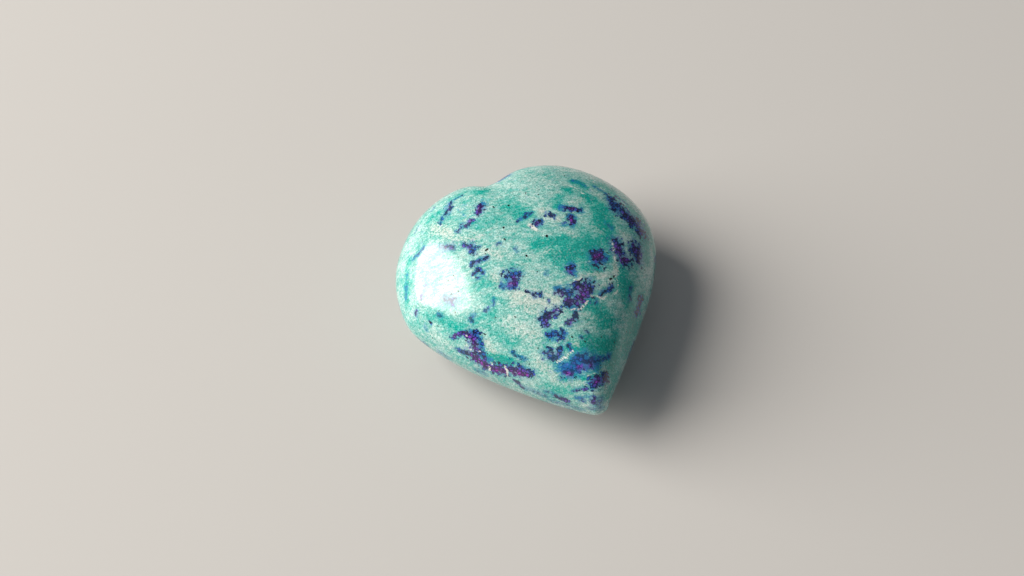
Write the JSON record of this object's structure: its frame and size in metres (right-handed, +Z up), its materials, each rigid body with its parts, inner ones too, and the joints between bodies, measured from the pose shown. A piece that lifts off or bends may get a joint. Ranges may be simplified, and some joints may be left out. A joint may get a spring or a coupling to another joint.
{
  "type": "polished ruby in fuchsite heart",
  "caption": "Palm-sized puffy heart of polished ruby in fuchsite, domed on both faces, with a soft notch, a blunt tip and a small worn flat under it to rest on.",
  "frame": {"origin": "centre of the bounding box at the level of the resting flat", "axes": "+Z up from the resting flat, -Y towards the point of the heart, +Y towards its notch, lobes towards +X and -X"},
  "size_m": [0.0448, 0.0462, 0.022],
  "materials": {
    "ruby_in_fuchsite": "polished, mottled green fuchsite with purple and blue ruby grains"
  },
  "bodies": {
    "root": {"heart_stone": "ruby_in_fuchsite"}
  },
  "joints": []
}
